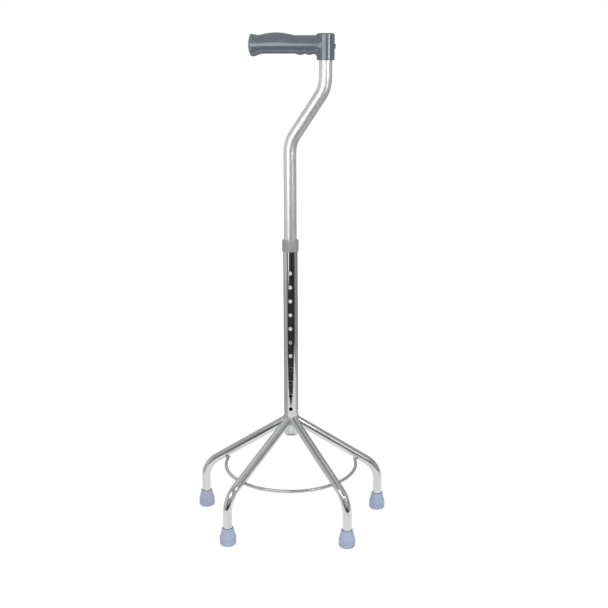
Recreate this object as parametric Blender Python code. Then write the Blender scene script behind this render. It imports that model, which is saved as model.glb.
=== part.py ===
"""Quad cane: an offset aluminium shaft with a moulded grip, sliding in a chromed base on four legs.

Metres, +Z up. The floor is z = 0 and the origin is the centre of the footprint. +X is the way the user walks,
and the grip points back from the shaft. The shaft stands over the inner pair of legs, close to the user, and the
outer pair of legs reaches out to -Y. Each piece of the real cane is an object of its own.
"""
import math

import bmesh
import bpy
from mathutils import Matrix, Vector

# Clearances between separate pieces
SEAT_GAP = 0.0003

# Shaft tubes
UPPER_DIAMETER = 0.0222
UPPER_WALL = 0.0012
LOWER_WALL = 0.0013
SLIDE_CLEARANCE = 0.0003
LOWER_BORE = UPPER_DIAMETER + 2 * SLIDE_CLEARANCE
LOWER_DIAMETER = LOWER_BORE + 2 * LOWER_WALL
UPPER_BORE = UPPER_DIAMETER - 2 * UPPER_WALL

# Heights of the lower tube above the floor
HUB_HEIGHT = 0.180
TAIL_LENGTH = 0.0335
LOWER_TUBE_LENGTH = 0.3585
LOWER_TUBE_FOOT = HUB_HEIGHT - TAIL_LENGTH
LOWER_TUBE_MOUTH = LOWER_TUBE_FOOT + LOWER_TUBE_LENGTH

# Row of height holes, counted from the lowest
HOLE_COUNT = 11
HOLE_PITCH = 0.0254
LOWEST_HOLE_ABOVE_HUB = 0.019
BUTTON_DIAMETER = 0.0062
BUTTON_CLEARANCE = 0.0003
HOLE_DIAMETER = BUTTON_DIAMETER + 2 * BUTTON_CLEARANCE
BUTTON_HOLE = 5
BUTTON_HEIGHT = HUB_HEIGHT + LOWEST_HOLE_ABOVE_HUB + BUTTON_HOLE * HOLE_PITCH

# Upper tube, along its length
BUTTON_ABOVE_END = 0.039
STRAIGHT_BELOW_NECK = 0.376
NECK_OFFSET = 0.0605
NECK_ANGLE = math.radians(33.8)
NECK_RADIUS = 0.055
HEAD_LENGTH = 0.0655

# Collar over the lower tube's mouth
COLLAR_DIAMETER = 0.029
COLLAR_SKIRT = 0.0145
COLLAR_LIP = 0.006
COLLAR_EDGE = 0.0016

# Plug in the lower tube's foot
PLUG_LENGTH = 0.009
PLUG_CHAMFER = 0.0008

# Legs
LEG_DIAMETER = 0.0159
LEG_WALL = 0.0012
LEG_CORNER_HEIGHT = 0.083
LEG_BEND_RADIUS = 0.045
INNER_REACH = 0.161
OUTER_SPREAD = 0.1035
OUTER_REACH = 0.146

# Hoop under the legs
HOOP_ROD = 0.006
HOOP_HEIGHT = 0.0953
HOOP_OVERRUN = math.radians(2.5)

# Ferrules, with a steel washer under each leg
FERRULE_HEIGHT = 0.0305
FERRULE_WIDEST = 0.029
FERRULE_BAND = 0.0135
FERRULE_LIP = 0.0006
FERRULE_WAIST = 0.0003
FERRULE_TOP_WALL = 0.0017
SOLE_THICKNESS = 0.009
SOLE_EDGE = 0.0025
FERRULE_EDGE = 0.0008
FERRULE_RIM = 0.002
TREAD_DEPTH = 0.0012
TREAD_GROOVE = 0.0017
TREAD_RADII = (0.0045, 0.0085)
WASHER_THICKNESS = 0.0012
LEG_FOOT = SOLE_THICKNESS + WASHER_THICKNESS + 2 * SEAT_GAP

# Handle socket, measured from the tube's top end
SOCKET_DIAMETER = 0.030
SOCKET_DEPTH = 0.0375
SOCKET_CAP = 0.0061
SOCKET_EDGE = 0.0024
SOCKET_CROWN = 0.0008

# Grip, measured back from the socket's axis, with heights from the tube's top end
GRIP_TOP = 0.0028
GRIP_UNDERSIDE = -0.0268
GRIP_HALF_WIDTH = 0.0132
GRIP_SQUARENESS = 2.4
GRIP_RIM = 0.125
GRIP_END_EDGE = 0.0012
GRIP_END_CROWN = 0.0035
SWELL_CENTRE = 0.083
SWELL_HALF_LENGTH = 0.031
SWELL_HEIGHT = 0.0045
SWELL_WIDTH = 0.0010
TOP_FLARE_START = 0.109
TOP_FLARE = 0.0023
SIDE_FLARE = 0.0018
LOBE_START = 0.1045
LOBE_PEAK = 0.1215
LOBE_DEPTH = 0.0044
LOBE_ROUND = 0.0018
RIDGE_CENTRES = (0.0272, 0.0425)
RIDGE_HALF_LENGTH = 0.0078
RIDGE_HEIGHT = 0.0022
GUSSET_START = 0.0217
GUSSET_LENGTH = 0.0078

# Screw through the socket's front
SCREW_BELOW_TOP = 0.015
SCREW_DIAMETER = 0.0038
SCREW_HEAD = 0.008
SCREW_HEAD_HEIGHT = 0.002
SCREW_HEAD_EDGE = 0.0012
SCREW_LENGTH = 0.011
SCREW_SLOT = 0.0011
SPOT_FACE = 0.0007

# Spring clip and its button
LEAF_WIDTH = 0.008
LEAF_THICKNESS = 0.0008
LEAF_BELOW_BUTTON = 0.024
LEAF_ABOVE_BUTTON = 0.0075
BUTTON_PROUD = 0.0021
BUTTON_EDGE = 0.002
RIVET_HEAD = 0.0076
RIVET_THICKNESS = 0.0008

# Facets
SHAFT_SIDES = 24
LEG_SIDES = 16
ROD_SIDES = 10
TURNED_SIDES = 24
SMALL_SIDES = 16
DRILL_SIDES = 12
GRIP_SIDES = 24
GRIP_STEP = 0.0031
BEND_STEP = math.radians(8)
CLIP_BEND_STEPS = 12

# The shaft's place, which centres the footprint on the origin
WIDEST_AT_SHAFT = max(FERRULE_WIDEST, SOCKET_DIAMETER, 2 * (GRIP_HALF_WIDTH + SIDE_FLARE)) / 2
SHAFT_Y = (OUTER_REACH + FERRULE_WIDEST / 2 - WIDEST_AT_SHAFT) / 2

# Where each foot stands, from the shaft's axis
FEET = {
    "inner_front": (INNER_REACH, 0.0),
    "inner_rear": (-INNER_REACH, 0.0),
    "outer_front": (OUTER_SPREAD, -OUTER_REACH),
    "outer_rear": (-OUTER_SPREAD, -OUTER_REACH),
}


def finish(name, colour, roughness, metallic):
    """A Principled material."""
    material = bpy.data.materials.new(name)
    material.use_nodes = True
    shader = material.node_tree.nodes["Principled BSDF"]
    shader.inputs["Base Color"].default_value = (*colour, 1.0)
    shader.inputs["Roughness"].default_value = roughness
    shader.inputs["Metallic"].default_value = metallic
    return material


def add_object(name, mesh, material, place=(0, 0, 0), parent=None):
    """Puts a mesh in the scene, smooth on its round faces and sharp at its edges."""
    mesh.name = name
    mesh.shade_smooth()
    mesh.set_sharp_from_angle(angle=math.radians(35))
    mesh.materials.clear()
    mesh.materials.append(material)
    item = bpy.data.objects.new(name, mesh)
    bpy.context.collection.objects.link(item)
    item.location = place
    item.parent = parent
    return item


def add_guide(name, mesh, place=(0, 0, 0), parent=None):
    """A cutter, or a form that is joined to another piece, which isn't a piece itself."""
    guide = bpy.data.objects.new(name, mesh)
    bpy.context.collection.objects.link(guide)
    guide.location = place
    guide.parent = parent
    guide.hide_render = True
    guide.display_type = "WIRE"
    return guide


def combine(item, guide, operation="DIFFERENCE"):
    """Cuts a guide out of a piece, or joins it on."""
    modifier = item.modifiers.new(f"{operation.lower()} {guide.name}", "BOOLEAN")
    modifier.operation = operation
    modifier.solver = "EXACT"
    modifier.object = guide


def mesh_from(bm):
    """Turns a bmesh into a mesh with its faces pointing out."""
    bmesh.ops.recalc_face_normals(bm, faces=bm.faces)
    mesh = bpy.data.meshes.new("form")
    bm.to_mesh(mesh)
    bm.free()
    return mesh


def turned(profile, sides=TURNED_SIDES, closed=False):
    """Spins a profile of (radius, height) points round Z. A closed profile makes a ring."""
    bm = bmesh.new()
    points = [bm.verts.new((radius, 0, height)) for radius, height in profile]
    following = points[1:] + points[:1] if closed else points[1:]
    edges = [bm.edges.new(pair) for pair in zip(points, following)]
    bmesh.ops.spin(bm, geom=points + edges, cent=(0, 0, 0), axis=(0, 0, 1), angle=math.tau, steps=sides)
    bmesh.ops.remove_doubles(bm, verts=bm.verts, dist=0.000001)
    return mesh_from(bm)


def corner(centre, radius, start, end, steps=4):
    """Points of a round edge on a turned profile, between two angles in degrees."""
    angles = [math.radians(start + (end - start) * step / steps) for step in range(steps + 1)]
    return [(centre[0] + radius * math.cos(a), centre[1] + radius * math.sin(a)) for a in angles]


def rounded_path(corners, radius):
    """A path through corners, with each inner corner turned into an arc."""
    corners = [Vector(point) for point in corners]
    path = [corners[0]]
    for before, point, after in zip(corners, corners[1:], corners[2:]):
        arriving = (point - before).normalized()
        leaving = (after - point).normalized()
        turn = arriving.angle(leaving)
        centre = point + (leaving - arriving).normalized() * radius / math.cos(turn / 2)
        first = point - arriving * radius * math.tan(turn / 2) - centre
        axis = arriving.cross(leaving)
        steps = math.ceil(turn / BEND_STEP)
        path += [centre + Matrix.Rotation(turn * step / steps, 3, axis) @ first for step in range(steps + 1)]
    return path + [corners[-1]]


def swept(path, diameter, sides, capped):
    """Carries a circle along a path, as a curve with a bevel."""
    curve = bpy.data.curves.new("path", "CURVE")
    curve.dimensions = "3D"
    curve.bevel_depth = diameter / 2
    curve.bevel_resolution = (sides - 4) // 2
    curve.use_fill_caps = capped
    spline = curve.splines.new("POLY")
    spline.points.add(len(path) - 1)
    for point, place in zip(spline.points, path):
        point.co = (*place, 1.0)
    holder = bpy.data.objects.new("path", curve)
    mesh = bpy.data.meshes.new_from_object(holder)
    bpy.data.objects.remove(holder)
    bpy.data.curves.remove(curve)
    return mesh


def add_wall(item, thickness, offset=-1):
    """Gives a sheet its thickness, inward by default."""
    modifier = item.modifiers.new("wall", "SOLIDIFY")
    modifier.thickness = thickness
    modifier.offset = offset
    modifier.use_even_offset = True


def drill(name, diameter, length, places, axis, parent=None, sides=DRILL_SIDES):
    """Cylinders for cutting holes, each centred on its place, along one axis."""
    turn = Vector((0, 0, 1)).rotation_difference(Vector(axis)).to_matrix().to_4x4()
    bm = bmesh.new()
    for place in places:
        bmesh.ops.create_cone(bm, cap_ends=True, segments=sides, radius1=diameter / 2, radius2=diameter / 2,
                              depth=length, matrix=Matrix.Translation(place) @ turn)
    return add_guide(name, mesh_from(bm), parent=parent)


def ribbon(path, width):
    """A strip of metal without thickness: a path in the YZ plane, drawn out along X."""
    bm = bmesh.new()
    points = [bm.verts.new((-width / 2, y, z)) for y, z in path]
    edges = [bm.edges.new(pair) for pair in zip(points, points[1:])]
    drawn = bmesh.ops.extrude_edge_only(bm, edges=edges)["geom"]
    far_side = [vertex for vertex in drawn if isinstance(vertex, bmesh.types.BMVert)]
    bmesh.ops.translate(bm, verts=far_side, vec=(width, 0, 0))
    return mesh_from(bm)


def make_upper_tube(material, parent):
    """Straight tube with the two bends of its offset neck, a button hole and a screw hole."""
    lower_corner = STRAIGHT_BELOW_NECK - BUTTON_ABOVE_END + NECK_RADIUS * math.tan(NECK_ANGLE / 2)
    upper_corner = lower_corner + NECK_OFFSET / math.tan(NECK_ANGLE)
    path = rounded_path([
        (0, 0, -BUTTON_ABOVE_END),
        (0, 0, lower_corner),
        (NECK_OFFSET, 0, upper_corner),
        (NECK_OFFSET, 0, upper_tube_top()),
    ], NECK_RADIUS)
    tube = add_object("upper_tube", swept(path, UPPER_DIAMETER, SHAFT_SIDES, False), material, parent=parent)
    add_wall(tube, UPPER_WALL)
    one_wall = UPPER_DIAMETER / 2
    button_wall = (0, -UPPER_DIAMETER / 2, 0)
    combine(tube, drill("button_drill", HOLE_DIAMETER, one_wall, [button_wall], (0, 1, 0), parent))
    screw_wall = (NECK_OFFSET + UPPER_DIAMETER / 2, 0, upper_tube_top() - SCREW_BELOW_TOP)
    combine(tube, drill("tube_screw_drill", screw_hole(), one_wall, [screw_wall], (1, 0, 0), parent))
    return tube


def upper_tube_top():
    """Height of the upper tube's top end over the button."""
    bends = 2 * NECK_RADIUS * math.tan(NECK_ANGLE / 2)
    return STRAIGHT_BELOW_NECK - BUTTON_ABOVE_END + bends + NECK_OFFSET / math.tan(NECK_ANGLE) + HEAD_LENGTH


def screw_hole():
    """Diameter of the clearance hole for the handle's screw."""
    return SCREW_DIAMETER + 2 * SEAT_GAP


def ramp(value, start, end):
    """Rises smoothly from 0 at start to 1 at end."""
    share = min(max((value - start) / (end - start), 0), 1)
    return share * share * (3 - 2 * share)


def hump(value, centre, half_length):
    """A half wave of height 1 round a centre."""
    share = abs(value - centre) / half_length
    return math.cos(share * math.pi / 2) if share < 1 else 0.0


def grip_section(back):
    """Top, underside and half width of the grip, at a distance back from the socket's axis."""
    top = GRIP_TOP + SWELL_HEIGHT * hump(back, SWELL_CENTRE, SWELL_HALF_LENGTH)
    top += TOP_FLARE * ramp(back, TOP_FLARE_START, GRIP_RIM)
    ridges = sum(hump(back, centre, RIDGE_HALF_LENGTH) for centre in RIDGE_CENTRES)
    underside = GRIP_UNDERSIDE - RIDGE_HEIGHT * ridges
    underside -= LOBE_DEPTH * ramp(back, LOBE_START, LOBE_PEAK)
    past_lobe = max((back - LOBE_PEAK) / (GRIP_RIM - LOBE_PEAK), 0)
    underside += LOBE_ROUND * past_lobe ** 2
    into_gusset = min(max((GUSSET_START - back) / GUSSET_LENGTH, 0), 1)
    drop = SOCKET_DEPTH + GRIP_UNDERSIDE - SEAT_GAP
    underside -= drop * (1 - math.sqrt(1 - into_gusset ** 2))
    half_width = GRIP_HALF_WIDTH + SWELL_WIDTH * hump(back, SWELL_CENTRE, SWELL_HALF_LENGTH)
    half_width += SIDE_FLARE * ramp(back, TOP_FLARE_START, GRIP_RIM)
    return top, underside, half_width


def grip_ring(bm, back, shrink, shift):
    """One closed section of the grip: a squarish oval, shrunk toward its middle on the crowned end."""
    top, underside, half_width = grip_section(back)
    middle = (GRIP_TOP + GRIP_UNDERSIDE) / 2
    ring = []
    for side in range(GRIP_SIDES):
        angle = math.tau * side / GRIP_SIDES
        across = math.copysign(abs(math.cos(angle)) ** (2 / GRIP_SQUARENESS), math.cos(angle))
        upward = math.copysign(abs(math.sin(angle)) ** (2 / GRIP_SQUARENESS), math.sin(angle))
        reach = top - middle if upward > 0 else middle - underside
        ring.append(bm.verts.new((-back - shift, half_width * across * shrink, middle + reach * upward * shrink)))
    return ring


def grip_form():
    """Grip lofted from inside the socket to its end, which has a small round edge and a crowned face."""
    bm = bmesh.new()
    start = UPPER_DIAMETER / 4
    steps = round((GRIP_RIM - start) / GRIP_STEP)
    backs = [start + (GRIP_RIM - start) * step / steps for step in range(steps + 1)]
    rings = [grip_ring(bm, back, 1, 0) for back in backs]
    for degrees in (30, 60):
        angle = math.radians(degrees)
        face = 1 - GRIP_END_EDGE / GRIP_HALF_WIDTH * (1 - math.cos(angle))
        edge = GRIP_END_EDGE * math.sin(angle)
        rings.append(grip_ring(bm, GRIP_RIM, face, edge))
    for share in (0.75, 0.5, 0.25):
        rings.append(grip_ring(bm, GRIP_RIM, face * share, edge + GRIP_END_CROWN * (1 - share ** 2)))
    for ring, following in zip(rings, rings[1:]):
        for side in range(GRIP_SIDES):
            after = (side + 1) % GRIP_SIDES
            bm.faces.new((ring[side], ring[after], following[after], following[side]))
    bm.faces.new(rings[0])
    bm.faces.new(rings[-1])
    return mesh_from(bm)


def socket_form():
    """Outer shape of the socket: a cylinder with rounded rims and a slightly crowned top."""
    radius = SOCKET_DIAMETER / 2
    foot_edge = SOCKET_EDGE / 3
    profile = [(0, -SOCKET_DEPTH)]
    profile += corner((radius - foot_edge, foot_edge - SOCKET_DEPTH), foot_edge, -90, 0, 2)
    profile += corner((radius - SOCKET_EDGE, SOCKET_CAP - SOCKET_CROWN - SOCKET_EDGE), SOCKET_EDGE, 0, 84)
    profile.append((0, SOCKET_CAP))
    return turned(profile, SHAFT_SIDES)


def make_handle(material, parent):
    """One moulding: grip and socket, with a blind bore for the tube and a seat for the screw."""
    top = Vector((NECK_OFFSET, 0, upper_tube_top()))
    handle = add_object("handle", grip_form(), material, top, parent)
    combine(handle, add_guide("socket_form", socket_form(), top, parent), "UNION")
    bore_depth = SOCKET_DEPTH + SOCKET_CAP
    bore_middle = top - Vector((0, 0, bore_depth / 2 - SEAT_GAP))
    bore = bmesh.new()
    bore_radius = UPPER_DIAMETER / 2 + SEAT_GAP
    bmesh.ops.create_cone(bore, cap_ends=True, segments=SHAFT_SIDES, radius1=bore_radius, radius2=bore_radius,
                          depth=bore_depth)
    combine(handle, add_guide("socket_bore", mesh_from(bore), bore_middle, parent))
    screw_seat = top + Vector((SOCKET_DIAMETER / 2, 0, -SCREW_BELOW_TOP))
    one_wall = SOCKET_DIAMETER / 2
    combine(handle, drill("socket_screw_drill", screw_hole(), one_wall, [screw_seat], (1, 0, 0), parent))
    spot_face = SCREW_HEAD + 2 * SEAT_GAP
    combine(handle, drill("spot_face_drill", spot_face, 2 * SPOT_FACE, [screw_seat], (1, 0, 0), parent))
    return handle


def make_handle_screw(material, parent):
    """Slotted pan head screw, pointing back into the tube."""
    shank = SCREW_DIAMETER / 2
    head = SCREW_HEAD / 2
    edge = SCREW_HEAD_EDGE
    profile = [(0, -SCREW_LENGTH), (shank, shank - SCREW_LENGTH), (shank, 0), (head, 0)]
    profile += corner((head - edge, SCREW_HEAD_HEIGHT - edge), edge, 0, 90, 3)
    profile.append((0, SCREW_HEAD_HEIGHT))
    out = NECK_OFFSET + SOCKET_DIAMETER / 2 - SPOT_FACE + SEAT_GAP
    place = Vector((out, 0, upper_tube_top() - SCREW_BELOW_TOP))
    mesh = turned(profile, SMALL_SIDES)
    mesh.transform(Matrix.Rotation(math.pi / 2, 4, "Y"))
    screw = add_object("handle_screw", mesh, material, place, parent)
    slot = bmesh.new()
    bmesh.ops.create_cube(slot, size=1, matrix=Matrix.Diagonal((SCREW_SLOT * 2, SCREW_HEAD * 2, SCREW_SLOT, 1)))
    combine(screw, add_guide("screw_slot", mesh_from(slot), place + Vector((SCREW_HEAD_HEIGHT, 0, 0)), parent))
    return screw


def leaf_face():
    """Distance from the shaft's axis to the outer face of a leaf that stands clear of the tube's bore."""
    return math.sqrt((UPPER_BORE / 2 - SEAT_GAP) ** 2 - (LEAF_WIDTH / 2) ** 2)


def make_clip_spring(material, parent):
    """Back leaf of the spring clip and the bend under it."""
    middle = leaf_face() - LEAF_THICKNESS / 2
    angles = [-math.pi * step / CLIP_BEND_STEPS for step in range(CLIP_BEND_STEPS + 1)]
    bend = [(middle * math.cos(a), middle * math.sin(a) - LEAF_BELOW_BUTTON) for a in angles]
    path = [(middle, LEAF_ABOVE_BUTTON)] + bend
    spring = add_object("clip_spring", ribbon(path, LEAF_WIDTH), material, parent=parent)
    add_wall(spring, LEAF_THICKNESS, 0)
    return spring


def make_snap_button(material, parent):
    """Front leaf of the spring clip with its button, which presses inward along +Y."""
    middle = leaf_face() - LEAF_THICKNESS / 2
    path = [(0, SEAT_GAP - LEAF_BELOW_BUTTON), (0, LEAF_ABOVE_BUTTON)]
    place = (0, -middle, 0)
    button = add_object("snap_button", ribbon(path, LEAF_WIDTH), material, place, parent)
    add_wall(button, LEAF_THICKNESS, 0)
    tip = LOWER_DIAMETER / 2 + BUTTON_PROUD - middle
    radius = BUTTON_DIAMETER / 2
    inside = -LEAF_THICKNESS / 2 - RIVET_THICKNESS
    profile = [(0, inside), (RIVET_HEAD / 2, inside), (RIVET_HEAD / 2, 0), (radius, 0)]
    profile += corner((radius - BUTTON_EDGE, tip - BUTTON_EDGE), BUTTON_EDGE, 0, 90, 3)
    profile.append((0, tip))
    mesh = turned(profile, SMALL_SIDES)
    mesh.transform(Matrix.Rotation(math.pi / 2, 4, "X"))
    combine(button, add_guide("button_form", mesh, place, parent), "UNION")
    return button


def make_lower_tube(material, parent):
    """Chromed tube with a row of height holes drilled through both walls."""
    middle = (LOWER_TUBE_FOOT + LOWER_TUBE_MOUTH) / 2
    bm = bmesh.new()
    radius = LOWER_DIAMETER / 2
    bmesh.ops.create_cone(bm, cap_ends=False, segments=SHAFT_SIDES, radius1=radius, radius2=radius,
                          depth=LOWER_TUBE_LENGTH, matrix=Matrix.Translation((0, 0, middle)))
    tube = add_object("lower_tube", mesh_from(bm), material, parent=parent)
    add_wall(tube, LOWER_WALL)
    lowest = HUB_HEIGHT + LOWEST_HOLE_ABOVE_HUB
    places = [(0, 0, lowest + hole * HOLE_PITCH) for hole in range(HOLE_COUNT)]
    combine(tube, drill("height_drill", HOLE_DIAMETER, 2 * LOWER_DIAMETER, places, (0, 1, 0), parent))
    return tube


def make_tube_collar(material, parent):
    """Sleeve over the lower tube's mouth, closed in to a lip round the upper tube."""
    radius = COLLAR_DIAMETER / 2
    skirt_bore = LOWER_DIAMETER / 2 + SEAT_GAP
    lip_bore = LOWER_BORE / 2
    step = COLLAR_SKIRT + SEAT_GAP
    height = step + COLLAR_LIP
    profile = [(lip_bore, height), (lip_bore, step), (skirt_bore, step), (skirt_bore, 0)]
    profile += corner((radius - COLLAR_EDGE, COLLAR_EDGE), COLLAR_EDGE, -90, 0)
    profile += corner((radius - COLLAR_EDGE, height - COLLAR_EDGE), COLLAR_EDGE, 0, 90)
    place = (0, 0, LOWER_TUBE_MOUTH - COLLAR_SKIRT)
    return add_object("tube_collar", turned(profile, SHAFT_SIDES, closed=True), material, place, parent)


def make_tube_plug(material, parent):
    """Plug that closes the lower tube's foot."""
    radius = LOWER_BORE / 2 - 2 * SEAT_GAP
    narrow = radius - PLUG_CHAMFER
    profile = [(0, 0), (narrow, 0), (radius, PLUG_CHAMFER), (radius, PLUG_LENGTH - PLUG_CHAMFER)]
    profile += [(narrow, PLUG_LENGTH), (0, PLUG_LENGTH)]
    return add_object("tube_plug", turned(profile), material, (0, 0, LOWER_TUBE_FOOT + SEAT_GAP), parent)


def hub_half_space(name, azimuth, side, parent):
    """A block on one side of the upright plane through the shaft's axis at an azimuth."""
    size = 4 * LOWER_DIAMETER
    bm = bmesh.new()
    shift = Matrix.Translation((0, side * (size / 2 - SEAT_GAP / 2), HUB_HEIGHT))
    bmesh.ops.create_cube(bm, size=size, matrix=Matrix.Rotation(azimuth, 4, "Z") @ shift)
    return add_guide(name, mesh_from(bm), parent=parent)


def make_leg(name, material, shaft_cutter, parent):
    """Tube from the shaft out and down to its foot, coped to the shaft and mitred to its neighbours."""
    foot = Vector(FEET[name])
    path = rounded_path([(0, 0, HUB_HEIGHT), (*foot, LEG_CORNER_HEIGHT), (*foot, LEG_FOOT)], LEG_BEND_RADIUS)
    leg = add_object(f"leg_{name}", swept(path, LEG_DIAMETER, LEG_SIDES, False), material, parent=parent)
    add_wall(leg, LEG_WALL)
    combine(leg, shaft_cutter)
    for other, place in FEET.items():
        if other == name:
            continue
        between = -foot.angle_signed(Vector(place))
        meets = (LEG_DIAMETER / 2 + SEAT_GAP) / math.sin(abs(between) / 2)
        if meets > LOWER_DIAMETER / 2:
            azimuth = math.atan2(foot.y, foot.x) + between / 2
            combine(leg, hub_half_space(f"mitre_{name}_{other}", azimuth, math.copysign(1, between), parent))
    return leg


def hoop_seat(reach):
    """Distance from the shaft at which a leg of this reach lies on the hoop."""
    drop = HUB_HEIGHT - LEG_CORNER_HEIGHT
    slope = math.atan2(drop, reach)
    between = (LEG_DIAMETER / 2 + HOOP_ROD / 2 + SEAT_GAP) / math.cos(slope)
    return (HUB_HEIGHT - HOOP_HEIGHT - between) / math.tan(slope)


def make_brace_hoop(material, parent):
    """Rod bent to the circle that passes under all four legs, open on the user's side."""
    inner = hoop_seat(INNER_REACH)
    outer_reach = math.hypot(OUTER_SPREAD, OUTER_REACH)
    outer = hoop_seat(outer_reach)
    outward = OUTER_REACH / outer_reach
    offset = (outer ** 2 - inner ** 2) / (2 * outer * outward)
    radius = math.hypot(inner, offset)
    end = math.atan2(offset, inner) + HOOP_OVERRUN
    sweep = math.pi + 2 * end
    steps = math.ceil(sweep / BEND_STEP)
    angles = [end - sweep * step / steps for step in range(steps + 1)]
    path = [(radius * math.cos(a), radius * math.sin(a) - offset, HOOP_HEIGHT) for a in angles]
    return add_object("brace_hoop", swept(path, HOOP_ROD, ROD_SIDES, True), material, parent=parent)


def ferrule_form():
    """Rubber foot with a ringed tread: a cone on a wider, slightly waisted band, with a blind bore for the leg."""
    widest = FERRULE_WIDEST / 2
    bore = LEG_DIAMETER / 2 + SEAT_GAP
    rim = bore + FERRULE_TOP_WALL
    half_edge = FERRULE_EDGE / 2
    profile = [(0, 0)]
    for radius in TREAD_RADII:
        far = radius + TREAD_GROOVE
        profile += [(radius, 0), (radius, TREAD_DEPTH), (far, TREAD_DEPTH), (far, 0)]
    profile += corner((widest - SOLE_EDGE, SOLE_EDGE), SOLE_EDGE, -90, 0, 3)
    profile.append((widest - FERRULE_WAIST, (SOLE_EDGE + FERRULE_BAND) / 2))
    profile += [(widest, FERRULE_BAND - FERRULE_LIP), (widest - FERRULE_LIP, FERRULE_BAND)]
    profile += [(rim + half_edge, FERRULE_HEIGHT - FERRULE_RIM), (rim, FERRULE_HEIGHT - half_edge)]
    profile += [(rim - half_edge, FERRULE_HEIGHT), (bore, FERRULE_HEIGHT)]
    profile += [(bore, SOLE_THICKNESS), (0, SOLE_THICKNESS)]
    return turned(profile)


def washer_form():
    """Steel disc that keeps the leg's end from cutting through the rubber."""
    radius = LEG_DIAMETER / 2
    chamfer = WASHER_THICKNESS / 4
    profile = [(0, 0), (radius - chamfer, 0), (radius, chamfer), (radius, WASHER_THICKNESS - chamfer)]
    profile += [(radius - chamfer, WASHER_THICKNESS), (0, WASHER_THICKNESS)]
    return turned(profile, SMALL_SIDES)


def add_axis(name, place, parent=None):
    """An empty on a joint's axis, which carries what moves with it."""
    axis = bpy.data.objects.new(name, None)
    bpy.context.collection.objects.link(axis)
    axis.location = place
    axis.parent = parent
    return axis


def main():
    for item in list(bpy.data.objects):
        bpy.data.objects.remove(item)
    chrome = finish("chrome", (0.62, 0.63, 0.64), 0.08, 1.0)
    aluminium = finish("anodised_aluminium", (0.80, 0.81, 0.82), 0.25, 1.0)
    spring_steel = finish("spring_steel", (0.45, 0.45, 0.44), 0.3, 1.0)
    slate_plastic = finish("slate_plastic", (0.102, 0.136, 0.171), 0.32, 0.0)
    grey_plastic = finish("grey_plastic", (0.26, 0.26, 0.26), 0.5, 0.0)
    blue_rubber = finish("blue_rubber", (0.38, 0.47, 0.62), 0.7, 0.0)

    base = add_axis("base_axis", (0, SHAFT_Y, 0))
    make_lower_tube(chrome, base)
    make_tube_collar(grey_plastic, base)
    make_tube_plug(grey_plastic, base)
    shaft_cutter = drill("shaft_cutter", LOWER_DIAMETER + 2 * SEAT_GAP, LOWER_TUBE_LENGTH, [(0, 0, HUB_HEIGHT)],
                         (0, 0, 1), base, SHAFT_SIDES)
    ferrule_mesh = ferrule_form()
    washer_mesh = washer_form()
    for name, (x, y) in FEET.items():
        make_leg(name, chrome, shaft_cutter, base)
        add_object(f"ferrule_{name}", ferrule_mesh, blue_rubber, (x, y, 0), base)
        add_object(f"washer_{name}", washer_mesh, spring_steel, (x, y, SOLE_THICKNESS + SEAT_GAP), base)
    make_brace_hoop(chrome, base)

    slide = add_axis("height_slide_axis", (0, 0, BUTTON_HEIGHT), base)
    make_upper_tube(aluminium, slide)
    make_handle(slate_plastic, slide)
    make_handle_screw(spring_steel, slide)
    make_clip_spring(spring_steel, slide)
    make_snap_button(spring_steel, slide)


main()
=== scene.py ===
"""Quad cane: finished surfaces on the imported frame, a pale studio and the photograph's camera.

Metres, +Z up, in the frame's own coordinates. The shaft stands at x = 0, the grip points back along -X and
the outer legs reach out to -Y, toward the camera.
"""
import math

import bmesh
import bpy
import numpy as np
from mathutils import Euler, Matrix, Vector


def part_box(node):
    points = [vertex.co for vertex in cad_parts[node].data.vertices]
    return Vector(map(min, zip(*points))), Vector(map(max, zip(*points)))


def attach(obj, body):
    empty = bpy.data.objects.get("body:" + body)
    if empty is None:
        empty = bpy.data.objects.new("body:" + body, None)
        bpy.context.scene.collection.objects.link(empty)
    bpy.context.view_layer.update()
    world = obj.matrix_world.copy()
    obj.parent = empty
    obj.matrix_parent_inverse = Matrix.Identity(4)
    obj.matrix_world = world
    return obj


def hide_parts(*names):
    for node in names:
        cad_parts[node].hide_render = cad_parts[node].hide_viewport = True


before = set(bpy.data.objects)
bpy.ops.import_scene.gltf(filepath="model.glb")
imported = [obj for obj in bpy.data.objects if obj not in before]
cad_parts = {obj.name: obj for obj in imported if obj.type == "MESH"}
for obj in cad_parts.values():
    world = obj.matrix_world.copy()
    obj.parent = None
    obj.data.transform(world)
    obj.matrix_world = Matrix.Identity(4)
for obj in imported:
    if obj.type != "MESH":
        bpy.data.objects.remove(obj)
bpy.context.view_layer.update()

# Sizes and places that the frame gives
lower_low, lower_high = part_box("lower_tube")
upper_low, upper_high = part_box("upper_tube")
collar_low, collar_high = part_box("tube_collar")
plug_low, plug_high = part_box("tube_plug")
hoop_low, hoop_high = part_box("brace_hoop")
screw_low, screw_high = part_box("handle_screw")
button_low, button_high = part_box("snap_button")
SHAFT_Y = (lower_low.y + lower_high.y) / 2
LOWER_RADIUS = (lower_high.x - lower_low.x) / 2
UPPER_RADIUS = -upper_low.x
NECK_OFFSET = upper_high.x - UPPER_RADIUS
FEET = ("inner_front", "inner_rear", "outer_front", "outer_rear")

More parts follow.
